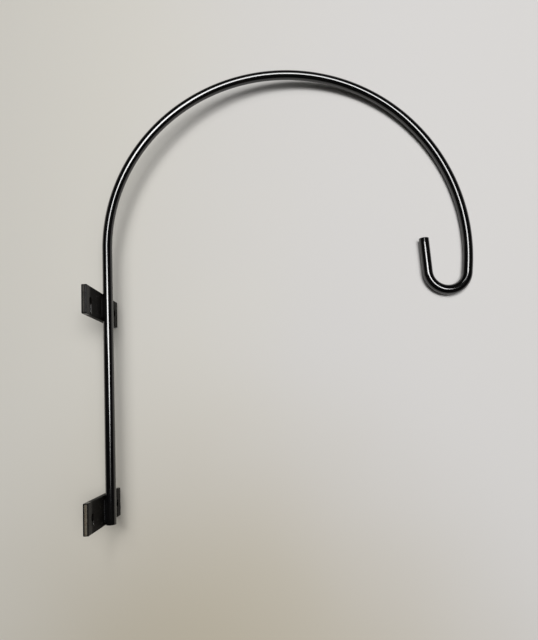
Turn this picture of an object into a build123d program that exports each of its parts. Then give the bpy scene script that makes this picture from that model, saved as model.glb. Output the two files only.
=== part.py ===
from build123d import *
import math
import os

# Swan neck wall bracket, in millimetres, as it hangs on a wall.
# The wall is the plane X = 0 and +X points away from it. +Z is up, and +Y is to the right of
# someone who faces the wall. The arm lies in the plane Y = 0. The origin is the centre of the four
# screw holes, on the wall.

# Round bar, bent in one length. It is followed from its foot: up the post, over the arch, round
# the hook and up the tail. Radii are to the bar's centre line.
rod_diameter = 10.0
post_length = 271.0
arch_radius = 182.5          # from the post over the crown
arch_angle = 140.0
shoulder_radius = 196.0      # the last stretch, which the bender opened a little
shoulder_angle = 49.0
hook_drop = 6.0              # straight bar between the arch and the hook
hook_radius = 20.0
hook_angle = 170.0
tail_length = 35.0
rod_end_chamfer = 0.5

# Wall plates, cut from flat bar and laid across the back of the post
plate_length = 100.0
plate_height = 28.0
plate_thickness = 5.0
plate_pitch = 198.0          # centre line of one plate to that of the other
plate_corner_radius = 1.2    # the cut corners, eased with a file
plate_edge_radius = 0.6      # the long edges, round as rolled

# Screw holes, one near each end of a plate
hole_diameter = 7.0
hole_end_distance = 12.0
hole_deburr = 0.4

# Weld beads, in the groove on each side of the post where it meets a plate
weld_toe = 6.0               # reach over the plate, from the middle of the post
weld_root = 2.4              # the groove is open nearer the middle than this
weld_climb_angle = 58.0      # how far round the bar the bead climbs
weld_hollow = 0.22           # the face is a little hollow between its two toes
weld_end_gap = 2.5           # bare plate above and below a bead
weld_ripple_pitch = 2.1
weld_ripple_depth = 0.22
weld_start_shares = (0.62, 0.86)  # size of the first sections, where the arc was struck

cut_overrun = 1.0

rod_radius = rod_diameter / 2
post_x = plate_thickness + rod_radius
upper_z = plate_pitch / 2
lower_z = -plate_pitch / 2
foot_z = lower_z - plate_height / 2
hole_y = plate_length / 2 - hole_end_distance


def rod_path():
    """Centre line of the bar, as tangent lines and arcs in the plane of the arm."""
    bends = (
        (arch_radius, arch_angle, 0.0),
        (shoulder_radius, shoulder_angle, hook_drop),
        (hook_radius, hook_angle, tail_length),
    )
    place = Vector(post_x, 0, foot_z)
    heading = 90.0           # degrees above the way out from the wall
    runs = [Line(place, place + bearing(heading) * post_length)]
    for radius, angle, straight in bends:
        place = runs[-1] @ 1
        centre = place + bearing(heading - 90) * radius
        bend_end = centre + bearing(heading + 90 - angle) * radius
        runs.append(TangentArc(place, bend_end, tangent=bearing(heading)))
        heading -= angle
        if straight:
            place = runs[-1] @ 1
            runs.append(Line(place, place + bearing(heading) * straight))
    return Wire(runs)


def bearing(heading):
    """Unit vector in the plane of the arm, at a heading in degrees above +X."""
    return Vector(math.cos(math.radians(heading)), 0, math.sin(math.radians(heading)))


def swan_neck_rod():
    """The bent bar, with both cut ends eased."""
    path = rod_path()
    start = Plane(origin=path @ 0, z_dir=path % 0)
    rod = sweep(start * Circle(rod_radius), path=path)
    ends = (path @ 0, path @ 1)
    rims = [edge for edge in rod.edges().filter_by(GeomType.CIRCLE)
            if min((edge.arc_center - end).length for end in ends) < rod_end_chamfer]
    return chamfer(rims, rod_end_chamfer)


def wall_plate(centre_z):
    """A length of rolled flat bar with two screw holes, its back on the wall."""
    rolled_section = RectangleRounded(plate_thickness, plate_height, plate_edge_radius)
    placed_section = Plane.XZ * Pos(plate_thickness / 2, 0) * rolled_section
    bar = extrude(placed_section, plate_length / 2, both=True)
    outline = Plane.YZ * RectangleRounded(plate_length, plate_height, plate_corner_radius)
    plate = bar & extrude(outline, plate_thickness)
    for side in (-1, 1):
        plate -= Pos(0, side * hole_y, 0) * screw_hole()
    return Pos(0, 0, centre_z) * plate


def screw_hole():
    """The drilled hole through a plate, with both rims deburred."""
    half = hole_diameter / 2
    rim = half + hole_deburr + cut_overrun
    outline = Polyline(
        (-cut_overrun, 0),
        (-cut_overrun, rim),
        (hole_deburr, half),
        (plate_thickness - hole_deburr, half),
        (plate_thickness + cut_overrun, rim),
        (plate_thickness + cut_overrun, 0),
        close=True,
    )
    return revolve(make_face(outline), Axis.X)


def weld_section(share, z):
    """One slice of a bead on the +Y side, as large as the share says, at height z."""
    toe = weld_root + (weld_toe - weld_root) * share
    climb = math.radians(weld_climb_angle * share)
    rod_toe = Vector(post_x - rod_radius * math.cos(climb), rod_radius * math.sin(climb), z)
    plate_toe = Vector(plate_thickness, toe, z)
    across = (rod_toe - plate_toe).normalized()
    inward = Vector(-across.Y, across.X, 0)
    middle = (plate_toe + rod_toe) * 0.5 + inward * weld_hollow * share
    buried = Vector(post_x - weld_root, weld_root, z)
    root = Vector(plate_thickness, weld_root, z)
    face = ThreePointArc(plate_toe, middle, rod_toe)
    edges = [face, Line(rod_toe, buried), Line(buried, root), Line(root, plate_toe)]
    return make_face(edges)


def weld_bead(centre_z):
    """A rippled bead on the +Y side, cut to lie on the bar and the plate face to face."""
    length = plate_height - 2 * weld_end_gap
    count = 2 * round(length / weld_ripple_pitch)
    pitch = length / count
    valley = 1 - weld_ripple_depth / (weld_toe - weld_root)
    sections = []
    for index in range(count + 1):
        share = 1.0 if index % 2 else valley
        from_end = min(index, count - index)
        if from_end < len(weld_start_shares):
            share *= weld_start_shares[from_end]
        sections.append(weld_section(share, centre_z - length / 2 + index * pitch))
    bead = loft(sections, ruled=True)
    bar = Pos(post_x, 0, centre_z) * Cylinder(rod_radius, length + 2 * cut_overrun)
    return bead - bar


os.makedirs("parts", exist_ok=True)
pieces = {
    "swan_neck_rod": swan_neck_rod(),
    "upper_wall_plate": wall_plate(upper_z),
    "lower_wall_plate": wall_plate(lower_z),
}
for plate_name, plate_z in (("upper", upper_z), ("lower", lower_z)):
    right_bead = weld_bead(plate_z)
    pieces[plate_name + "_weld_right"] = right_bead
    pieces[plate_name + "_weld_left"] = mirror(right_bead, about=Plane.XZ)

for node, shape in pieces.items():
    export_step(shape, "parts/" + node + ".step")
    print(node, round(shape.volume, 1), shape.bounding_box())
print("bar before bending", round(rod_path().length, 1))
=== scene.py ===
import math
import random
import bpy
import bmesh
from mathutils import Matrix, Vector


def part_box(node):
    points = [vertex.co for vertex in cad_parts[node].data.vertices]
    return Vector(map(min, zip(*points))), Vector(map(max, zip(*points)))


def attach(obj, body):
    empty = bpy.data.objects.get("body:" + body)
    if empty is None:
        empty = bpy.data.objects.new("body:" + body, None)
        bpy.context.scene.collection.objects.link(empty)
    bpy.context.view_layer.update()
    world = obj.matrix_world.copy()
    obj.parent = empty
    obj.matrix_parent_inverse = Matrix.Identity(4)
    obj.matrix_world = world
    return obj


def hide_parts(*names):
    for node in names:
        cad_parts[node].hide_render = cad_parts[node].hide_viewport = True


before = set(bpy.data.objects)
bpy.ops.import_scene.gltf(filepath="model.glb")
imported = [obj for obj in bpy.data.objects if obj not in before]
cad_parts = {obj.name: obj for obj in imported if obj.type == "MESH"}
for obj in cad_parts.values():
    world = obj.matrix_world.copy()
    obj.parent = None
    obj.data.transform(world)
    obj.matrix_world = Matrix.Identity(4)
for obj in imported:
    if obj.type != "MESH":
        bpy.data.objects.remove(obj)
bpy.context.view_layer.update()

# Swan neck wall bracket in black enamel, laid on a pale board as in the photograph.
# Metres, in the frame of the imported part: the wall is X = 0, Z is up, the arm lies in Y = 0.
# The dictionaries give sizes in mm and angles in degrees.

mm = 0.001
hair = 0.01 * mm            # two places nearer than this are the same place
speck = 0.001 * mm          # corners nearer than this are merged
bodyName = "root"

scene = bpy.context.scene
scene.view_settings.view_transform = "Standard"


# Small helpers

def hexColour(code):
    # sRGB hex to the linear colour that a shader takes
    values = [int(code[i:i + 2], 16) / 255 for i in (1, 3, 5)]
    linear = [v / 12.92 if v <= 0.04045 else ((v + 0.055) / 1.055) ** 2.4 for v in values]
    return (*linear, 1.0)


def addNode(tree, kind, settings=None, links=None):
    # a key is an input's name or number, or else a property of the node
    node = tree.nodes.new(kind)
    for key, value in (settings or {}).items():
        if isinstance(key, int) or key in node.inputs:
            node.inputs[key].default_value = value
        else:
            setattr(node, key, value)
    for key, source in (links or {}).items():
        tree.links.new(source, node.inputs[key])
    return node


def newMaterial(name):
    material = bpy.data.materials.new(name)
    material.use_nodes = True
    tree = material.node_tree
    tree.nodes.clear()
    return material, tree


def deselectAll():
    if bpy.context.object and bpy.context.object.mode != "OBJECT":
        bpy.ops.object.mode_set(mode="OBJECT")
    bpy.ops.object.select_all(action="DESELECT")


def makeActive(obj):
    deselectAll()
    obj.select_set(True)
    bpy.context.view_layer.objects.active = obj


def startEditing(obj, mode="VERT"):
    makeActive(obj)
    bpy.ops.object.mode_set(mode="EDIT")
    bpy.ops.mesh.select_mode(type=mode)
    bpy.ops.mesh.select_all(action="DESELECT")


def pickEdges(obj, wanted):
    # in edit and edge mode, selects the edges for which wanted(middle, direction) is true
    mesh = bmesh.from_edit_mesh(obj.data)
    bpy.ops.mesh.select_all(action="DESELECT")
    for edge in mesh.edges:
        start, end = (vertex.co for vertex in edge.verts)
        edge.select_set(bool(wanted((start + end) / 2, (end - start).normalized())))
    bmesh.update_edit_mesh(obj.data)


def applyTransform(obj):
    makeActive(obj)
    bpy.ops.object.transform_apply(location=True, rotation=True, scale=True)


def applyModifier(obj, kind, **settings):
    makeActive(obj)
    modifier = obj.modifiers.new(kind.lower(), kind)
    for key, value in settings.items():
        setattr(modifier, key, value)
    bpy.ops.object.modifier_apply(modifier=modifier.name)


def closeSkin(obj, angle):
    # doubles and slivers first, then the normals, then soft shading that keeps the arrises
    startEditing(obj)
    bpy.ops.mesh.select_all(action="SELECT")
    bpy.ops.mesh.remove_doubles(threshold=speck)
    bpy.ops.mesh.dissolve_degenerate(threshold=2 * speck)
    bpy.ops.mesh.normals_make_consistent(inside=False)
    makeActive(obj)
    bpy.ops.object.shade_smooth_by_angle(angle=math.radians(angle))


def finishPiece(piece, settings):
    piece.data.name = piece.name
    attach(piece, bodyName)
    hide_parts(settings["node"])
    print("made", piece.name, len(piece.data.polygons), "faces")


# Camera, at the photograph's viewing angle

photoCamera = {
    "place": (181.61, -565.74, -9.60),
    "turn": 0.948,          # about the upright
    "tilt": 8.604,          # up from level
    "roll": -3.279,         # about the line of sight
    "focalPixels": 570.0,
    "framePixels": (538, 640),
    "sensor": 36.0,         # along the frame's long side
    "nearest": 10.0,        # what it sees, from here
    "farthest": 20000.0,    # to here
}


def placeCamera():
    deselectAll()
    place = Vector(photoCamera["place"]) * mm
    turn = Matrix.Rotation(math.radians(photoCamera["turn"]), 4, "Z")
    tilt = Matrix.Rotation(math.radians(90 + photoCamera["tilt"]), 4, "X")
    roll = Matrix.Rotation(math.radians(photoCamera["roll"]), 4, "Z")
    rotation = (turn @ tilt @ roll).to_euler()
    bpy.ops.object.camera_add(location=place, rotation=rotation)
    camera = bpy.context.object
    camera.name = "photoCamera"
    camera.data.sensor_fit = "AUTO"
    camera.data.sensor_width = photoCamera["sensor"]
    longSide = max(photoCamera["framePixels"])
    camera.data.lens = photoCamera["sensor"] * photoCamera["focalPixels"] / longSide
    camera.data.clip_start = photoCamera["nearest"] * mm
    camera.data.clip_end = photoCamera["farthest"] * mm
    scene.camera = camera


placeCamera()
print("camera placed")


# Pale board that the bracket lies on: it touches the plates' far ends and rises in a slight bow to
# just under the bar near the hook. It ends just outside the picture on the right, and is seen from
# its front only, so that it hides nothing of the bracket from the side or from behind.

board = {
    "touch": (5.0, 50.2),   # X and Y of the plates' far ends, with a hair of clearance
    "under": (370.0, 5.3),  # X and Y of the board just under the bar
    "flat": 0.33,           # share of the rise that is flat; the rest is bowed
    "bow": 2.0,             # the power of the bow
    "left": -1110.0,        # its edges
    "right": 500.0,
    "bottom": -1180.0,
    "top": 1420.0,
    "cells": 120,           # along its bow
    "colour": "#d4d2d0",
    "rough": 0.7,
    "shine": 0.2,
    "paintedLeftLight": "#d8d5cd",      # painted light: a little lighter and yellower towards the left
    "paintedLeftLightFrom": (300.0, -60.0),     # X where that starts and X where it is full
    "paintedLeftLightWander": 250.0,    # how far the clouds push that to and fro
    "stainAndShade": "#beb6a4",     # painted shade: a soft darker, yellower patch towards its lower edge
    "shadePatchPlace": (90.0, 30.0, -340.0),
    "shadePatchReach": (20.0, 460.0),    # full within the first, gone beyond the second
    "shadePatchWander": 90.0,
    "cloud": 260.0,         # width of the faint clouds
}


def boardMaterial():
    # White-painted board: matt and faintly clouded, with painted light (lighter and yellower to the left),
    # painted shade (a soft darker patch near its lower edge) and a clear back
    material, tree = newMaterial("mattWhiteBoard")
    place = addNode(tree, "ShaderNodeTexCoord").outputs["Object"]
    axes = addNode(tree, "ShaderNodeSeparateXYZ", {}, {0: place})
    cloud = addNode(tree, "ShaderNodeTexNoise",
                    {"Scale": 1 / (board["cloud"] * mm), "Detail": 2.0}, {"Vector": place})
    # painted light: the board lighter and yellower towards the left
    wavyX = addNode(tree, "ShaderNodeMath",
                    {"operation": "MULTIPLY_ADD", 1: board["paintedLeftLightWander"] * mm},
                    {0: cloud.outputs[0], 2: axes.outputs["X"]})
    paintedLightStart, paintedLightFull = (x + board["paintedLeftLightWander"] / 2 for x in board["paintedLeftLightFrom"])
    paintedLeftLightMask = addNode(tree, "ShaderNodeMapRange",
                  {"interpolation_type": "SMOOTHSTEP",
                   "From Min": paintedLightStart * mm, "From Max": paintedLightFull * mm},
                  {"Value": wavyX.outputs[0]})
    # painted shade: a soft darker, yellower patch near the lower edge
    fromShadePatch = addNode(tree, "ShaderNodeVectorMath",
                        {"operation": "DISTANCE", 1: Vector(board["shadePatchPlace"]) * mm}, {0: place})
    wavyDistance = addNode(tree, "ShaderNodeMath",
                           {"operation": "MULTIPLY_ADD", 1: board["shadePatchWander"] * mm},
                           {0: cloud.outputs[0], 2: fromShadePatch.outputs["Value"]})
    full, gone = (reach + board["shadePatchWander"] / 2 for reach in board["shadePatchReach"])
    stainAndShade = addNode(tree, "ShaderNodeMapRange",
                    {"interpolation_type": "SMOOTHERSTEP", "From Min": gone * mm, "From Max": full * mm},
                    {"Value": wavyDistance.outputs[0]})
    paint = addNode(tree, "ShaderNodeMix",
                    {"data_type": "RGBA", 6: hexColour(board["colour"]), 7: hexColour(board["paintedLeftLight"])},
                    {0: paintedLeftLightMask.outputs[0]})
    colour = addNode(tree, "ShaderNodeMix", {"data_type": "RGBA", 7: hexColour(board["stainAndShade"])},
                     {0: stainAndShade.outputs[0], 6: paint.outputs[2]})
    front = addNode(tree, "ShaderNodeBsdfPrincipled",
                    {"Roughness": board["rough"], "Specular IOR Level": board["shine"]},
                    {"Base Color": colour.outputs[2]})
    clear = addNode(tree, "ShaderNodeBsdfTransparent")
    side = addNode(tree, "ShaderNodeNewGeometry").outputs["Backfacing"]
    both = addNode(tree, "ShaderNodeMixShader", {}, {0: side, 1: front.outputs[0], 2: clear.outputs[0]})
    addNode(tree, "ShaderNodeOutputMaterial", {}, {"Surface": both.outputs[0]})
    return material


def makeBoard():
    deselectAll()
    place = ((board["left"] + board["right"]) / 2, 0, (board["bottom"] + board["top"]) / 2)
    bpy.ops.mesh.primitive_grid_add(x_subdivisions=board["cells"], y_subdivisions=2, size=mm,
                                    location=Vector(place) * mm, rotation=(math.radians(90), 0, 0))
    plane = bpy.context.object
    plane.name = "stageBoard"
    plane.scale = (board["right"] - board["left"], board["top"] - board["bottom"], 1)
    applyTransform(plane)
    (startX, startY), (endX, endY) = board["touch"], board["under"]
    for vertex in plane.data.vertices:
        share = (endX - vertex.co.x / mm) / (endX - startX)     # 1 at the plates, 0 near the hook
        if share < 1:
            bowed = max(share, 0) ** board["bow"]
        else:
            bowed = 1 + board["bow"] * (share - 1)      # straight on, past the plates
        rise = board["flat"] * share + (1 - board["flat"]) * bowed
        vertex.co.y = (endY + (startY - endY) * rise) * mm
    bpy.ops.object.shade_smooth()
    plane.data.materials.append(boardMaterial())


makeBoard()
print("board laid")


# Light: soft lamps in front of the board, and a dark tent round them that the gloss mirrors

lampDistance = 2500.0       # in front of the plane of the arm
lamps = (
    # centre is X and Z, size and roll are as seen from the bracket, radiance is the brightness at
    # any size, and a lamp that is not inGloss lights without being mirrored
    {"name": "keyWindow", "centre": (560.0, 420.0), "size": (1250.0, 600.0), "roll": -39.0,
     "radiance": 18.9, "inGloss": True},
    {"name": "leftWindow", "centre": (-100.0, 660.0), "size": (800.0, 560.0), "roll": 0.0,
     "radiance": 8.3, "inGloss": True},
    {"name": "highWindow", "centre": (280.0, 1300.0), "size": (400.0, 700.0), "roll": 0.0,
     "radiance": 6.2, "inGloss": True},
    {"name": "lowWindow", "centre": (680.0, -250.0), "size": (620.0, 240.0), "roll": 0.0,
     "radiance": 1.8, "inGloss": True},
    {"name": "broadFill", "centre": (760.0, -60.0), "size": (2200.0, 1200.0), "roll": 0.0,
     "radiance": 1.15, "inGloss": False},
)
darkTent = {
    "radius": 3300.0,       # half a round tent
    "mouth": 40.0,          # Y of its open side, over the board
    "segments": 48,
    "rings": 24,
    "colour": "#050505",
}
room = {
    "seen": "#e4e1da",      # as the eye, the gloss and glass see it
    "ambient": 0.03,        # share of it that lights matt surfaces
}


def makeLamp(settings):
    deselectAll()
    x, z = settings["centre"]
    bpy.ops.object.light_add(type="AREA", location=Vector((x, -lampDistance, z)) * mm)
    lamp = bpy.context.object
    lamp.name = settings["name"]
    lamp.rotation_euler = (Matrix.Rotation(math.radians(90), 4, "X")
                           @ Matrix.Rotation(math.radians(settings["roll"]), 4, "Z")).to_euler()
    width, height = (side * mm for side in settings["size"])
    lamp.data.shape = "RECTANGLE"
    lamp.data.size = width
    lamp.data.size_y = height
    lamp.data.energy = settings["radiance"] * math.pi * width * height
    lamp.visible_camera = False
    lamp.visible_glossy = settings["inGloss"]


def makeDarkTent():
    # black cloth round the lamps, for the gloss alone, so that dark paint mirrors only the lamps
    deselectAll()
    bpy.ops.mesh.primitive_uv_sphere_add(segments=darkTent["segments"], ring_count=darkTent["rings"],
                                         radius=darkTent["radius"] * mm)
    tent = bpy.context.object
    tent.name = "stageDarkTent"
    applyTransform(tent)
    startEditing(tent)
    bpy.ops.mesh.select_all(action="SELECT")
    bpy.ops.mesh.bisect(plane_co=(0, darkTent["mouth"] * mm, 0), plane_no=(0, 1, 0), clear_outer=True)
    deselectAll()
    material, tree = newMaterial("mattBlackCloth")
    black = addNode(tree, "ShaderNodeBsdfDiffuse", {"Color": hexColour(darkTent["colour"])})
    addNode(tree, "ShaderNodeOutputMaterial", {}, {"Surface": black.outputs[0]})
    tent.data.materials.append(material)
    tent.visible_camera = False
    tent.visible_diffuse = False
    tent.visible_shadow = False


def lightRoom():
    world = bpy.data.worlds.new("paleRoom")
    scene.world = world
    world.use_nodes = True
    tree = world.node_tree
    tree.nodes.clear()
    rays = addNode(tree, "ShaderNodeLightPath")
    cameraOrGloss = addNode(tree, "ShaderNodeMath", {"operation": "MAXIMUM"},
                            {0: rays.outputs["Is Camera Ray"], 1: rays.outputs["Is Glossy Ray"]})
    seen = addNode(tree, "ShaderNodeMath", {"operation": "MAXIMUM"},
                   {0: cameraOrGloss.outputs[0], 1: rays.outputs["Is Transmission Ray"]})
    colour = hexColour(room["seen"])
    pale = addNode(tree, "ShaderNodeBackground", {"Color": colour, "Strength": 1.0})
    dim = addNode(tree, "ShaderNodeBackground", {"Color": colour, "Strength": room["ambient"]})
    mix = addNode(tree, "ShaderNodeMixShader", {},
                  {0: seen.outputs[0], 1: dim.outputs[0], 2: pale.outputs[0]})
    addNode(tree, "ShaderNodeOutputWorld", {}, {"Surface": mix.outputs[0]})


for lampSettings in lamps:
    makeLamp(lampSettings)
makeDarkTent()
lightRoom()
print("lit")


# Finishes. In each enamel, peel is the width and height of its waves, topCoat is 1 where it flowed
# out to full gloss, and rough and shine are those of the thinner paint under or without that.

# over smooth drawn bar, where it flowed out: hard, narrow lines of light
rodEnamel = {
    "name": "glossEnamelOnDrawnBar",
    "dark": "#080809",
    "dusty": "#0f0e0d",
    "peel": (3.0, 0.003),
    "rough": (0.10, 0.17),
    "topCoat": 1.0,
    "shine": 0.0,
}
# over rolled flat bar: dull and faintly lined, glossier only where it gathered near the ends
plateEnamel = {
    "name": "satinEnamelOnRolledFlat",
    "dark": "#080808",
    "dusty": "#191715",
    "peel": (3.2, 0.008),
    "rough": (0.42, 0.62),
    "topCoat": 0.0,
    "shine": 0.025,
    "rolled": {
        "line": 0.6,            # height of a line that the rolls left in the flat bar
        "stretch": 0.02,        # its fineness along the bar, as a share of that across it
        "depth": 0.22,          # against the waves of the paint
        "hollow": 0.022,        # slope at which the bar's face rises towards both ends
        "rubbed": "#211f1d",    # colour of the lines' rubbed crests
        "rubs": (0.52, 0.74),   # height of a line, of 1, where rubbing starts and where it is full
        "fatEdge": (37.0, 43.0),    # from the bar's middle, where paint gathers near the cut ends
        "fatRough": 0.3,        # and is glossier: its roughness there, as a share
    },
}
# over weld metal: soft glints on the ripples
weldEnamel = {
    "name": "enamelOnWeldMetal",
    "dark": "#080809",
    "dusty": "#0f0e0e",
    "peel": (0.8, 0.01),
    "rough": (0.28, 0.38),
    "topCoat": 0.0,
    "shine": 0.1,
}
# thick, in runs and over beads of spatter: deep gloss, with a point of light on each
thickEnamel = {
    "name": "glossEnamelInRunsAndBeads",
    "dark": "#0c0c0c",
    "dusty": "#161514",
    "peel": (2.0, 0.004),
    "rough": (0.14, 0.20),
    "topCoat": 1.0,
    "shine": 0.0,
}
enamelHaze = {
    "patch": 22.0,          # width of the patches of dust
    "tones": (0.35, 0.75),  # level of the haze, of 1, where dust starts to show and where it is full
    "roughs": (0.3, 0.75),  # the same for roughness
}
enamelIor = 1.5
topCoatIor = 1.65           # hard alkyd varnish
topCoatRough = 0.1


def enamel(settings):
    # Alkyd enamel: near black, hard lines of light where it mirrors the lamps, a faint orange peel
    # in them and a little haze of dust
    material, tree = newMaterial(settings["name"])
    place = addNode(tree, "ShaderNodeTexCoord").outputs["Object"]
    waveWidth, waveHeight = (size * mm for size in settings["peel"])
    waves = addNode(tree, "ShaderNodeTexNoise", {"Scale": 1 / waveWidth, "Detail": 1.0},
                    {"Vector": place})
    haze = addNode(tree, "ShaderNodeTexNoise", {"Scale": 1 / (enamelHaze["patch"] * mm), "Detail": 3.0},
                   {"Vector": place})
    toneStart, toneEnd = enamelHaze["tones"]
    tone = addNode(tree, "ShaderNodeMapRange", {"From Min": toneStart, "From Max": toneEnd},
                   {"Value": haze.outputs[0]})
    colour = addNode(tree, "ShaderNodeMix",
                     {"data_type": "RGBA", 6: hexColour(settings["dark"]), 7: hexColour(settings["dusty"])},
                     {0: tone.outputs[0]})
    roughStart, roughEnd = enamelHaze["roughs"]
    smoothest, roughest = settings["rough"]
    roughness = addNode(tree, "ShaderNodeMapRange",
                        {"From Min": roughStart, "From Max": roughEnd,
                         "To Min": smoothest, "To Max": roughest},
                        {"Value": haze.outputs[0]})
    height = waves
    rolled = settings.get("rolled")
    if rolled:
        axes = addNode(tree, "ShaderNodeSeparateXYZ", {}, {0: place})
        fromMiddle = addNode(tree, "ShaderNodeMath", {"operation": "ABSOLUTE"}, {0: axes.outputs["Y"]})
        drawnOut = addNode(tree, "ShaderNodeMapping", {"Scale": (1.0, rolled["stretch"], 1.0)},
                           {"Vector": place})
        lines = addNode(tree, "ShaderNodeTexNoise", {"Scale": 1 / (rolled["line"] * mm), "Detail": 2.0},
                        {"Vector": drawnOut.outputs[0]})
        height = addNode(tree, "ShaderNodeMath", {"operation": "MULTIPLY_ADD", 1: rolled["depth"]},
                         {0: lines.outputs[0], 2: waves.outputs[0]})
        height = addNode(tree, "ShaderNodeMath",
                         {"operation": "MULTIPLY_ADD", 1: rolled["hollow"] / waveHeight},
                         {0: fromMiddle.outputs[0], 2: height.outputs[0]})
        fatStart, fatEnd = rolled["fatEdge"]
        fatEdge = addNode(tree, "ShaderNodeMapRange",
                          {"interpolation_type": "SMOOTHSTEP", "From Min": fatStart * mm,
                           "From Max": fatEnd * mm, "To Min": 1.0, "To Max": rolled["fatRough"]},
                          {"Value": fromMiddle.outputs[0]})
        roughness = addNode(tree, "ShaderNodeMath", {"operation": "MULTIPLY"},
                            {0: roughness.outputs[0], 1: fatEdge.outputs[0]})
        rubStart, rubEnd = rolled["rubs"]
        rubs = addNode(tree, "ShaderNodeMapRange", {"From Min": rubStart, "From Max": rubEnd},
                       {"Value": lines.outputs[0]})
        colour = addNode(tree, "ShaderNodeMix", {"data_type": "RGBA", 7: hexColour(rolled["rubbed"])},
                         {0: rubs.outputs[0], 6: colour.outputs[2]})
    bump = addNode(tree, "ShaderNodeBump", {"Strength": 1.0, "Distance": waveHeight},
                   {"Height": height.outputs[0]})
    shader = addNode(tree, "ShaderNodeBsdfPrincipled",
                     {"IOR": enamelIor, "Specular IOR Level": settings["shine"],
                      "Coat Weight": settings["topCoat"], "Coat Roughness": topCoatRough,
                      "Coat IOR": topCoatIor},
                     {"Base Color": colour.outputs[2], "Roughness": roughness.outputs[0],
                      "Normal": bump.outputs[0], "Coat Normal": bump.outputs[0]})
    addNode(tree, "ShaderNodeOutputMaterial", {}, {"Surface": shader.outputs[0]})
    return material


# the upper plate's ends: a little steel shows grey through the paint
thinEnd = {
    "name": "thinEnamelOnShearedSteel",
    "bare": "#4a4740",
    "stainAndShade": "#2c2822",
    "wear": 0.6,
    "band": (1.5, 3.9),     # from the back of the bar, where the paint is thin
}
# the lower plate's ends: rubbed almost bare
wornEnd = {
    "name": "wornEnamelOnShearedSteel",
    "bare": "#666054",
    "stainAndShade": "#4a3a2a",
    "wear": 0.95,
    "band": (1.6, 4.6),
}
shear = {
    "paint": "#0d0d0d",
    "grain": 0.9,           # width of the torn face's grains
    "grainDepth": 0.05,
    "patch": 6.0,           # width of the rubbed patches
    "patches": (0.3, 0.6),  # level of their noise, of 1, where wear starts to grow and where it is full
    "leastWear": 0.55,      # wear between the patches, as a share of that in them
    "spots": (0.5, 0.62),   # level of the grain, of 1, where stain starts and where it is full
    "ragged": 0.9,          # how far the band's edges wander
    "fade": (0.8, 0.7),     # how soft they are, at the back and at the front
    "rough": (0.25, 0.6),   # of whole paint and of bare steel
    "shine": 0.2,
}


def shearedEnd(settings):
    # End of a flat bar cropped in a shear: thin enamel over a torn, dull steel face. The paint is
    # whole near both faces of the bar, and thin or rubbed away in the band between them.
    material, tree = newMaterial(settings["name"])
    place = addNode(tree, "ShaderNodeTexCoord").outputs["Object"]
    axes = addNode(tree, "ShaderNodeSeparateXYZ", {}, {0: place})
    grain = addNode(tree, "ShaderNodeTexNoise",
                    {"Scale": 1 / (shear["grain"] * mm), "Detail": 4.0, "Roughness": 0.65},
                    {"Vector": place})
    patches = addNode(tree, "ShaderNodeTexNoise", {"Scale": 1 / (shear["patch"] * mm), "Detail": 2.0},
                      {"Vector": place})
    wavy = addNode(tree, "ShaderNodeMath", {"operation": "MULTIPLY_ADD", 1: shear["ragged"] * mm},
                   {0: grain.outputs[0], 2: axes.outputs["X"]})
    back, front = settings["band"]
    fadeBack, fadeFront = shear["fade"]
    fromBack = addNode(tree, "ShaderNodeMapRange",
                       {"interpolation_type": "SMOOTHSTEP",
                        "From Min": back * mm, "From Max": (back + fadeBack) * mm},
                       {"Value": wavy.outputs[0]})
    fromFront = addNode(tree, "ShaderNodeMapRange",
                        {"interpolation_type": "SMOOTHSTEP",
                         "From Min": front * mm, "From Max": (front - fadeFront) * mm},
                        {"Value": wavy.outputs[0]})
    torn = addNode(tree, "ShaderNodeMath", {"operation": "MULTIPLY"},
                   {0: fromBack.outputs[0], 1: fromFront.outputs[0]})
    wearStart, wearEnd = shear["patches"]
    rubbed = addNode(tree, "ShaderNodeMapRange",
                     {"From Min": wearStart, "From Max": wearEnd,
                      "To Min": settings["wear"] * shear["leastWear"], "To Max": settings["wear"]},
                     {"Value": patches.outputs[0]})
    bareness = addNode(tree, "ShaderNodeMath", {"operation": "MULTIPLY"},
                       {0: torn.outputs[0], 1: rubbed.outputs[0]})
    spotStart, spotEnd = shear["spots"]
    spots = addNode(tree, "ShaderNodeMapRange", {"From Min": spotStart, "From Max": spotEnd},
                    {"Value": grain.outputs[0]})
    steel = addNode(tree, "ShaderNodeMix",
                    {"data_type": "RGBA", 6: hexColour(settings["bare"]), 7: hexColour(settings["stainAndShade"])},
                    {0: spots.outputs[0]})
    colour = addNode(tree, "ShaderNodeMix", {"data_type": "RGBA", 6: hexColour(shear["paint"])},
                     {0: bareness.outputs[0], 7: steel.outputs[2]})
    wholeRough, bareRough = shear["rough"]
    rough = addNode(tree, "ShaderNodeMapRange", {"To Min": wholeRough, "To Max": bareRough},
                    {"Value": bareness.outputs[0]})
    bump = addNode(tree, "ShaderNodeBump", {"Strength": 1.0, "Distance": shear["grainDepth"] * mm},
                   {"Height": grain.outputs[0]})
    shader = addNode(tree, "ShaderNodeBsdfPrincipled",
                     {"IOR": enamelIor, "Specular IOR Level": shear["shine"]},
                     {"Base Color": colour.outputs[2], "Roughness": rough.outputs[0],
                      "Normal": bump.outputs[0]})
    addNode(tree, "ShaderNodeOutputMaterial", {}, {"Surface": shader.outputs[0]})
    return material


sawnEnd = {
    "name": "enamelOnSawnSteel",
    "dark": "#0d0d0d",
    "dusty": "#1e1c1a",
    "cut": 1.0,             # from one mark of the saw to the next
    "cutDepth": 0.04,
    "waver": 0.6,
    "grain": 1.5,
    "rough": 0.32,
}
waveCycle = 0.314           # the Scale at which a Wave Texture has its bands 1 m apart


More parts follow.
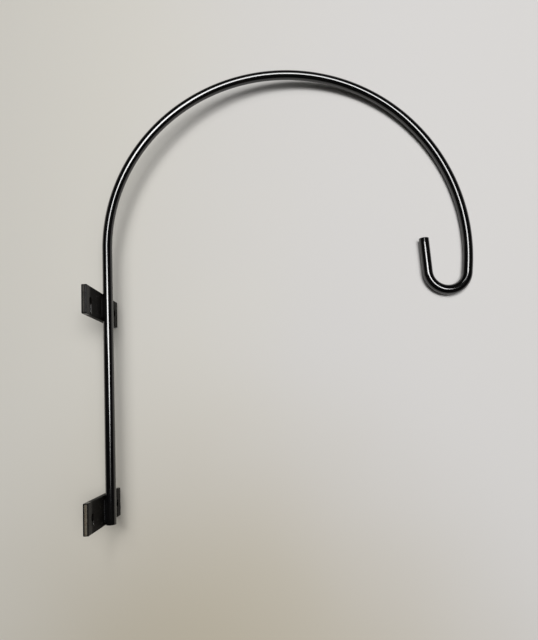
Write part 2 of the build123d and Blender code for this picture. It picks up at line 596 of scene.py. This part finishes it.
def sawnEndPaint():
    # Cut face of the round bar: thin enamel that follows the marks of the saw
    material, tree = newMaterial(sawnEnd["name"])
    place = addNode(tree, "ShaderNodeTexCoord").outputs["Object"]
    grain = addNode(tree, "ShaderNodeTexNoise", {"Scale": 1 / (sawnEnd["grain"] * mm), "Detail": 3.0},
                    {"Vector": place})
    cuts = addNode(tree, "ShaderNodeTexWave",
                   {"wave_type": "BANDS", "bands_direction": "X",
                    "Scale": waveCycle / (sawnEnd["cut"] * mm),
                    "Distortion": sawnEnd["waver"], "Detail": 1.0}, {"Vector": place})
    colour = addNode(tree, "ShaderNodeMix",
                     {"data_type": "RGBA", 6: hexColour(sawnEnd["dark"]), 7: hexColour(sawnEnd["dusty"])},
                     {0: grain.outputs[0]})
    bump = addNode(tree, "ShaderNodeBump", {"Strength": 1.0, "Distance": sawnEnd["cutDepth"] * mm},
                   {"Height": cuts.outputs[1]})
    shader = addNode(tree, "ShaderNodeBsdfPrincipled", {"IOR": enamelIor, "Roughness": sawnEnd["rough"]},
                     {"Base Color": colour.outputs[2], "Normal": bump.outputs[0]})
    addNode(tree, "ShaderNodeOutputMaterial", {}, {"Surface": shader.outputs[0]})
    return material


rodPaint = enamel(rodEnamel)
platePaint = enamel(plateEnamel)
weldPaint = enamel(weldEnamel)
thickPaint = enamel(thickEnamel)
endPaint = shearedEnd(thinEnd)
wornEndPaint = shearedEnd(wornEnd)
sawnPaint = sawnEndPaint()
print("finishes mixed")


# Bent bar

bentBar = {
    "node": "swan_neck_rod",
    "slot": "rod_paint",
    "sides": 64,            # facets round the bar
    "postLength": 271.0,
    "postSteps": 40,
    "bends": (              # followed from the post, each with the straight bar after it
        {"radius": 182.5, "angle": 140.0, "steps": 210, "straight": 0.0},
        {"radius": 196.0, "angle": 49.0, "steps": 80, "straight": 6.0},
        {"radius": 20.0, "angle": 170.0, "steps": 68, "straight": 35.0},
    ),
    "straightSteps": 6,
    "endEase": 0.5,         # the eased rim of each cut end
    "endSteps": 3,
    "softAngle": 40,        # arrises sharper than this stay hard
}


def makeBentBar():
    deselectAll()
    lowest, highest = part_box(bentBar["node"])
    radius = (highest.y - lowest.y) / 2
    foot = Vector((lowest.x + radius, 0, lowest.z))
    bpy.ops.mesh.primitive_circle_add(vertices=bentBar["sides"], radius=radius, location=foot)
    bar = bpy.context.object
    bar.name = "bentBar"
    applyTransform(bar)
    startEditing(bar)
    bpy.ops.mesh.select_all(action="SELECT")
    bpy.ops.mesh.edge_face_add()    # the foot's cut end
    stepUp = bentBar["postLength"] * mm / bentBar["postSteps"]
    for step in range(bentBar["postSteps"]):
        bpy.ops.mesh.extrude_region_move(TRANSFORM_OT_translate={"value": (0, 0, stepUp)})
    heading = 90.0                  # degrees above the way out from the wall
    place = foot + Vector((0, 0, bentBar["postLength"] * mm))
    for bend in bentBar["bends"]:
        towardsCentre = math.radians(heading - 90)
        inward = Vector((math.cos(towardsCentre), 0, math.sin(towardsCentre)))
        centre = place + inward * bend["radius"] * mm
        bpy.ops.mesh.spin(steps=bend["steps"], angle=math.radians(bend["angle"]),
                          center=centre, axis=(0, -1, 0))
        turn = Matrix.Rotation(math.radians(bend["angle"]), 4, "Y")
        place = centre + turn @ (place - centre)
        heading -= bend["angle"]
        along = Vector((math.cos(math.radians(heading)), 0, math.sin(math.radians(heading))))
        if bend["straight"]:
            stride = along * bend["straight"] * mm / bentBar["straightSteps"]
            for step in range(bentBar["straightSteps"]):
                bpy.ops.mesh.extrude_region_move(TRANSFORM_OT_translate={"value": stride})
            place += along * bend["straight"] * mm
    tip = place
    nearEnd = 1.1 * radius      # takes in the rim of a cut end

    def onRim(middle, direction):
        atFoot = abs(middle.z - foot.z) < hair and (middle - foot).length < nearEnd
        atTip = abs((middle - tip).dot(along)) < hair and (middle - tip).length < nearEnd
        return atFoot or atTip

    bpy.ops.mesh.select_mode(type="EDGE")
    pickEdges(bar, onRim)
    bpy.ops.mesh.bevel(offset=bentBar["endEase"] * mm, segments=bentBar["endSteps"], affect="EDGES")
    closeSkin(bar, bentBar["softAngle"])
    bar.data.materials.append(rodPaint)
    bar.data.materials.append(sawnPaint)
    for face in bar.data.polygons:
        face.material_index = int(len(face.vertices) > 4)   # only the two cut faces have more corners
    finishPiece(bar, bentBar)


makeBentBar()


# Wall plates, with beads of weld spatter and runs under their paint

wallPlate = {
    "slot": "plate_paint",
    "cornerRadius": 1.2,    # the cropped corners, eased with a file
    "cornerSteps": 6,
    "edgeRadius": 0.6,      # long edges, round as rolled
    "edgeSteps": 4,
    "holeDiameter": 7.0,
    "holeFromEnd": 12.0,
    "holeSides": 48,
    "holeDeburr": 0.4,
    "deburrSteps": 3,
    "softAngle": 40,
}

plateDetails = (
    # lumps are Y and height from the plate's middle, and radius; run is Y, top, bottom and width
    {"name": "upperWallPlate", "node": "upper_wall_plate", "end": endPaint,
     "run": (-37.8, -3.0, -13.4, 3.4),
     "lumps": ((-21.0, 7.2, 0.5), (-22.0, -1.8, 0.55), (-20.4, -5.0, 0.45), (-19.8, -7.8, 0.5),
               (-12.5, 9.0, 0.4), (-10.8, -11.2, 0.45), (-15.0, 1.6, 0.3), (11.0, 6.0, 0.45),
               (13.6, -4.5, 0.4), (18.2, -9.4, 0.5), (24.0, 2.2, 0.35), (9.8, -11.6, 0.4))},
    {"name": "lowerWallPlate", "node": "lower_wall_plate", "end": wornEndPaint,
     "run": (-36.4, -3.0, -8.0, 1.6),
     "lumps": ((-17.0, 5.4, 0.5), (-12.2, -9.6, 0.45), (-24.5, -4.2, 0.4), (-10.4, 11.4, 0.4),
               (-14.6, -1.2, 0.3), (10.6, -8.8, 0.45), (12.8, 8.2, 0.5), (19.5, -2.0, 0.4),
               (27.0, 6.6, 0.3), (15.2, 1.0, 0.35))},
)

spatter = {
    "segments": 20,
    "rings": 12,
    "form": (0.75, 1.0, 1.15),  # a little flat, and drawn down by the paint
}
paintRun = {
    "segments": 24,
    "rings": 32,
    "proud": 0.3,           # how far it stands out, as a share of its width
    "neck": 0.62,           # its narrowest, as a share of its width
    "belly": -0.72,         # where it is widest, from 1 at its top to -1 at its foot
}


def makeLump(place, radius):
    # a bead of spatter under the paint, half sunk in the plate
    deselectAll()
    bpy.ops.mesh.primitive_uv_sphere_add(segments=spatter["segments"], ring_count=spatter["rings"],
                                         radius=radius, location=place)
    lump = bpy.context.object
    lump.scale = spatter["form"]
    applyTransform(lump)
    bpy.ops.object.shade_smooth()
    lump.data.materials.append(thickPaint)
    return lump


def makeRun(top, length, width):
    # a run of paint that hangs from a hole: thin below its top and swollen at its foot
    deselectAll()
    bpy.ops.mesh.primitive_uv_sphere_add(segments=paintRun["segments"], ring_count=paintRun["rings"],
                                         radius=1, location=(0, 0, 0))
    run = bpy.context.object
    neck, belly = paintRun["neck"], paintRun["belly"]
    for vertex in run.data.vertices:
        x, y, z = vertex.co
        swell = neck + (1 - neck) * math.cos(math.radians(90) * max(z - belly, 0)) ** 2
        vertex.co = (x * width * paintRun["proud"] * swell, y * width / 2 * swell, (z - 1) * length / 2)
    run.location = top
    applyTransform(run)
    bpy.ops.object.shade_smooth()
    run.data.materials.append(thickPaint)
    return run


def makeWallPlate(settings):
    deselectAll()
    lowest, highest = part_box(settings["node"])
    middle, size = (lowest + highest) / 2, highest - lowest
    bpy.ops.mesh.primitive_cube_add(size=1, location=middle, scale=size)
    plate = bpy.context.object
    plate.name = settings["name"]
    applyTransform(plate)
    startEditing(plate, "EDGE")
    pickEdges(plate, lambda place, direction: abs(direction.x) > 0.9)   # the four corners
    bpy.ops.mesh.bevel(offset=wallPlate["cornerRadius"] * mm, segments=wallPlate["cornerSteps"],
                       affect="EDGES")
    pickEdges(plate, lambda place, direction: abs(direction.x) < 0.1)   # round both faces
    bpy.ops.mesh.bevel(offset=wallPlate["edgeRadius"] * mm, segments=wallPlate["edgeSteps"],
                       affect="EDGES")
    radius = wallPlate["holeDiameter"] / 2 * mm
    holeY = size.y / 2 - wallPlate["holeFromEnd"] * mm
    holes = [Vector((middle.x, side * holeY, middle.z)) for side in (-1, 1)]
    for hole in holes:
        deselectAll()
        bpy.ops.mesh.primitive_cylinder_add(vertices=wallPlate["holeSides"], radius=radius,
                                            depth=3 * size.x, location=hole,
                                            rotation=(0, math.radians(90), 0))
        drill = bpy.context.object
        applyTransform(drill)
        applyModifier(plate, "BOOLEAN", operation="DIFFERENCE", object=drill, solver="EXACT")
        bpy.data.objects.remove(drill)

    def onHoleRim(place, direction):
        onFace = min(abs(place.x - lowest.x), abs(place.x - highest.x)) < hair
        off = min(abs(math.hypot(place.y - hole.y, place.z - hole.z) - radius) for hole in holes)
        return onFace and off < 5 * hair    # an edge's middle lies a little inside the circle

    startEditing(plate, "EDGE")
    pickEdges(plate, onHoleRim)
    bpy.ops.mesh.bevel(offset=wallPlate["holeDeburr"] * mm, segments=wallPlate["deburrSteps"],
                       affect="EDGES")
    closeSkin(plate, wallPlate["softAngle"])
    applyModifier(plate, "WEIGHTED_NORMAL", keep_sharp=True)
    plate.data.materials.append(platePaint)
    plate.data.materials.append(settings["end"])
    for face in plate.data.polygons:
        atEnd = abs(face.center.y) > size.y / 2 - 10 * hair
        face.material_index = int(abs(face.normal.y) > 0.95 and atEnd)     # the cropped ends
    extras = [makeLump(Vector((highest.x, y * mm, middle.z + z * mm)), r * mm)
              for y, z, r in settings["lumps"]]
    y, top, bottom, width = (value * mm for value in settings["run"])
    extras.append(makeRun(Vector((highest.x, y, middle.z + top)), top - bottom, width))
    makeActive(plate)
    for extra in extras:
        extra.select_set(True)
    bpy.ops.object.join()
    finishPiece(plate, {**settings, **wallPlate})


for plateSettings in plateDetails:
    makeWallPlate(plateSettings)


# Weld beads, one in each groove between the post and a plate

weldBead = {
    "slot": "weld_paint",
    "postX": 10.0,          # the post's centre line
    "postRadius": 5.0,
    "plateFace": 5.0,
    "heart": (4.6, 3.0),    # X and Y of the middle of the bead's round section
    "faces": (0.6, 0.8),    # the way that its face looks, along X and away from the post
    "radius": 3.05,
    "length": 23.0,
    "pitch": 2.1,           # from one ripple to the next
    "thin": 0.62,           # a ripple's height, as a share of its width
    "lean": 24.0,           # how far a ripple leans back towards the start
    "endShares": (0.74, 0.92),  # size of the first and last ripples
    "unevenSize": 0.035,    # share by which the hand makes a ripple larger or smaller
    "unevenPlace": 0.15,    # how far it sets one too high or low
    "segments": 40,
    "rings": 24,
    "voxel": 0.2,           # that melts the ripples together
    "soften": 0.5,          # how much each pass of smoothing softens them
    "softenTimes": 3,
    "bite": 0.2,            # how far it goes into the steel on both sides
    "cutterSides": 96,
    "cutterSize": 40.0,
    "softAngle": 50,
}

weldDetails = (
    # side is +1 to the right of the post; seed picks the unevenness of the hand
    {"name": "upperWeldRight", "node": "upper_weld_right", "side": 1, "seed": 4},
    {"name": "upperWeldLeft", "node": "upper_weld_left", "side": -1, "seed": 12},
    {"name": "lowerWeldRight", "node": "lower_weld_right", "side": 1, "seed": 23},
    {"name": "lowerWeldLeft", "node": "lower_weld_left", "side": -1, "seed": 37},
)


def cutAway(bead, cutter):
    applyTransform(cutter)
    applyModifier(bead, "BOOLEAN", operation="DIFFERENCE", object=cutter, solver="EXACT")
    bpy.data.objects.remove(cutter)


def makeWeld(settings):
    chance = random.Random(settings["seed"])
    lowest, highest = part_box(settings["node"])
    middleZ = (lowest.z + highest.z) / 2
    radius = weldBead["radius"] * mm
    heartX, heartY = weldBead["heart"]
    heart = Vector((heartX, settings["side"] * heartY, 0)) * mm
    faceX, faceY = weldBead["faces"]
    across = Vector((0, 0, 1)).cross(Vector((faceX, faceY * settings["side"], 0)))
    count = int(weldBead["length"] / weldBead["pitch"])
    uneven, astray = weldBead["unevenSize"], weldBead["unevenPlace"]
    ripples = []
    for index in range(count):
        fromEnd = min(index, count - 1 - index)
        share = weldBead["endShares"][fromEnd] if fromEnd < len(weldBead["endShares"]) else 1.0
        share *= 1 + chance.uniform(-uneven, uneven)
        z = middleZ + (index - (count - 1) / 2) * weldBead["pitch"] * mm
        z += chance.uniform(-astray, astray) * mm
        deselectAll()
        bpy.ops.mesh.primitive_uv_sphere_add(segments=weldBead["segments"], ring_count=weldBead["rings"],
                                             radius=radius * share, location=heart + Vector((0, 0, z)))
        ripple = bpy.context.object
        ripple.scale = (1.0, 1.0, weldBead["thin"])
        ripple.rotation_mode = "QUATERNION"
        lean = Matrix.Rotation(math.radians(weldBead["lean"]), 3, across)
        ripple.rotation_quaternion = lean.to_quaternion()
        applyTransform(ripple)
        ripples.append(ripple)
    makeActive(ripples[0])
    for ripple in ripples:
        ripple.select_set(True)
    bpy.ops.object.join()
    bead = bpy.context.object
    bead.name = settings["name"]
    applyModifier(bead, "REMESH", mode="VOXEL", voxel_size=weldBead["voxel"] * mm)
    applyModifier(bead, "SMOOTH", factor=weldBead["soften"], iterations=weldBead["softenTimes"])
    cutterSize = weldBead["cutterSize"] * mm
    deselectAll()
    bpy.ops.mesh.primitive_cylinder_add(vertices=weldBead["cutterSides"], depth=cutterSize,
                                        radius=(weldBead["postRadius"] - weldBead["bite"]) * mm,
                                        location=(weldBead["postX"] * mm, 0, middleZ))
    cutAway(bead, bpy.context.object)
    backX = (weldBead["plateFace"] - weldBead["bite"]) * mm
    deselectAll()
    bpy.ops.mesh.primitive_cube_add(size=cutterSize, location=(backX - cutterSize / 2, 0, middleZ))
    cutAway(bead, bpy.context.object)
    closeSkin(bead, weldBead["softAngle"])
    bead.data.materials.append(weldPaint)
    finishPiece(bead, {**settings, **weldBead})


for weldSettings in weldDetails:
    makeWeld(weldSettings)
